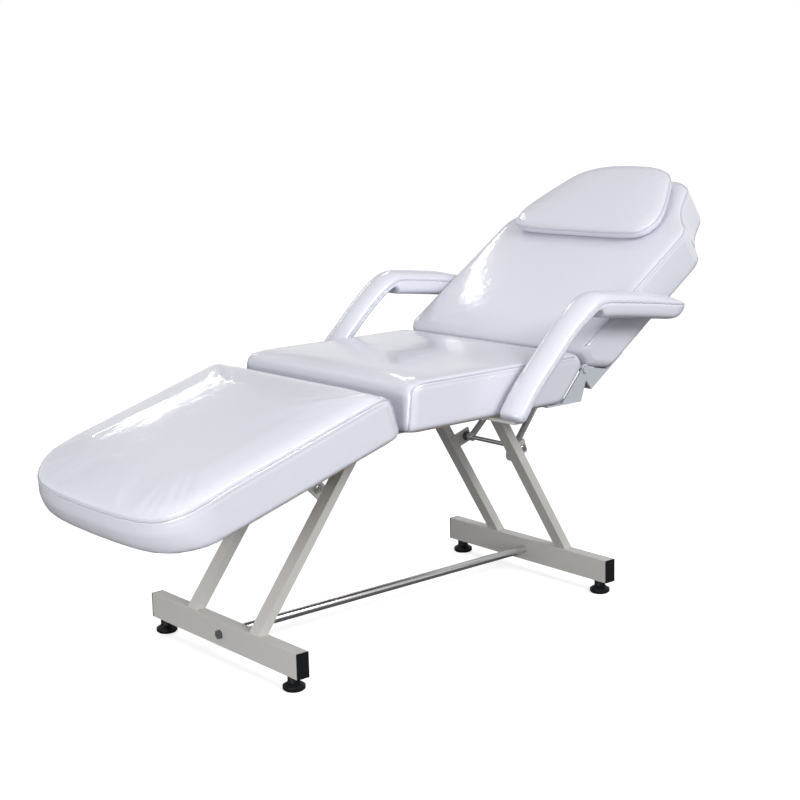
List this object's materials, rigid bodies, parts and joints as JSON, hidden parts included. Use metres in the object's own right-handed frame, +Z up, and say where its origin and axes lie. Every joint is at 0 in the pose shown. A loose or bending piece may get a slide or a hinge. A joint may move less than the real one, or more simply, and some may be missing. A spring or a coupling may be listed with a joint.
{
  "type": "tattoo chair",
  "caption": "Tattoo chair in white vinyl with a raised backrest, hanging leg rest, head pillow and padded armrests on a splayed steel stand with a tie rod",
  "frame": {"origin": "on the floor under the middle of the chair's bounding box, with the back half raised and the leg rest hanging as in the picture", "axes": "+X towards the head end along the chair, +Y towards the sitter's right, +Z up"},
  "size_m": [1.7045, 0.776, 0.9894],
  "materials": {
    "vinyl": "gloss",
    "frame_paint": "satin",
    "bright_rod": "polished",
    "hinge_steel": "satin",
    "dark_steel": "satin",
    "black_plastic": "satin",
    "plywood": "matt"
  },
  "bodies": {
    "frame": {"foot_end_bar": "frame_paint", "head_end_bar": "frame_paint", "bar_end_caps": "black_plastic", "tie_rod": "bright_rod", "tie_bolts": "dark_steel", "foot_end_post_left": "frame_paint", "foot_end_post_right": "frame_paint", "head_end_post_left": "frame_paint", "head_end_post_right": "frame_paint", "foot_cross_tube": "frame_paint", "head_cross_tube": "frame_paint", "seat_rail_left": "frame_paint", "seat_rail_right": "frame_paint", "seat_screws": "hinge_steel", "head_strut_rod": "bright_rod", "foot_strut_rod": "bright_rod", "head_rod_collars": "dark_steel", "foot_rod_collars": "dark_steel", "seat_board": "plywood", "seat_cushion": "vinyl", "seat_hinge_plate_left": "hinge_steel", "seat_hinge_plate_right": "hinge_steel", "back_hinge_bolts": "hinge_steel", "arm_pad_left": "vinyl", "arm_pad_right": "vinyl", "arm_steel_left": "frame_paint", "arm_steel_right": "frame_paint", "arm_screws": "hinge_steel", "leg_hinge_seat_leaves": "hinge_steel"},
    "backrest": {"back_board": "plywood", "back_cushion": "vinyl", "back_hinge_plate_left": "hinge_steel", "back_hinge_plate_right": "hinge_steel", "back_rack_left": "hinge_steel", "back_rack_right": "hinge_steel", "back_rack_screws": "hinge_steel"},
    "back_strut": {"head_strut_left": "bright_rod", "head_strut_right": "bright_rod", "head_strut_bar": "bright_rod"},
    "leg_rest": {"leg_board": "plywood", "leg_cushion": "vinyl", "leg_hinge_leg_leaves": "hinge_steel", "leg_rack_left": "hinge_steel", "leg_rack_right": "hinge_steel", "leg_rack_screws": "hinge_steel"},
    "leg_strut": {"foot_strut_left": "bright_rod", "foot_strut_right": "bright_rod", "foot_strut_bar": "bright_rod"},
    "pillow": {"head_pillow": "vinyl"},
    "foot_foot_end_left": {"levelling_foot_foot_end_left": "black_plastic"},
    "foot_foot_end_right": {"levelling_foot_foot_end_right": "black_plastic"},
    "foot_head_end_left": {"levelling_foot_head_end_left": "black_plastic"},
    "foot_head_end_right": {"levelling_foot_head_end_right": "black_plastic"}
  },
  "joints": [
    {"name": "back_tilt", "type": "hinge", "parent": "frame", "child": "backrest", "pos_m": [0.297, 0, 0.561], "axis": [0, -1, 0], "range_deg": [-34.15, 35.85]},
    {"name": "back_strut_swing", "type": "hinge", "parent": "frame", "child": "back_strut", "pos_m": [0.28035, 0, 0.351], "axis": [0, -1, 0], "range_deg": [-21.5, 22.5]},
    {"name": "leg_tilt", "type": "hinge", "parent": "frame", "child": "leg_rest", "pos_m": [-0.245, 0, 0.4865], "axis": [0, 1, 0], "range_deg": [-28.6, 16.4]},
    {"name": "leg_strut_swing", "type": "hinge", "parent": "frame", "child": "leg_strut", "pos_m": [-0.32924, 0, 0.362], "axis": [0, 1, 0], "range_deg": [-48, 28]},
    {"name": "pillow_lift", "type": "slide", "parent": "backrest", "child": "pillow", "axis": [-0.5614, 0, 0.8276], "range_m": [0, 0.06]},
    {"name": "foot_screw_foot_end_left", "type": "slide", "parent": "frame", "child": "foot_foot_end_left", "axis": [0, 0, -1], "range_m": [0, 0.012]},
    {"name": "foot_screw_foot_end_right", "type": "slide", "parent": "frame", "child": "foot_foot_end_right", "axis": [0, 0, -1], "range_m": [0, 0.012]},
    {"name": "foot_screw_head_end_left", "type": "slide", "parent": "frame", "child": "foot_head_end_left", "axis": [0, 0, -1], "range_m": [0, 0.012]},
    {"name": "foot_screw_head_end_right", "type": "slide", "parent": "frame", "child": "foot_head_end_right", "axis": [0, 0, -1], "range_m": [0, 0.012]}
  ],
  "couplings": [
    {"joint": "back_strut_swing", "follows": "back_tilt", "ratio": 0.62},
    {"joint": "leg_strut_swing", "follows": "leg_tilt", "ratio": 1.66}
  ]
}
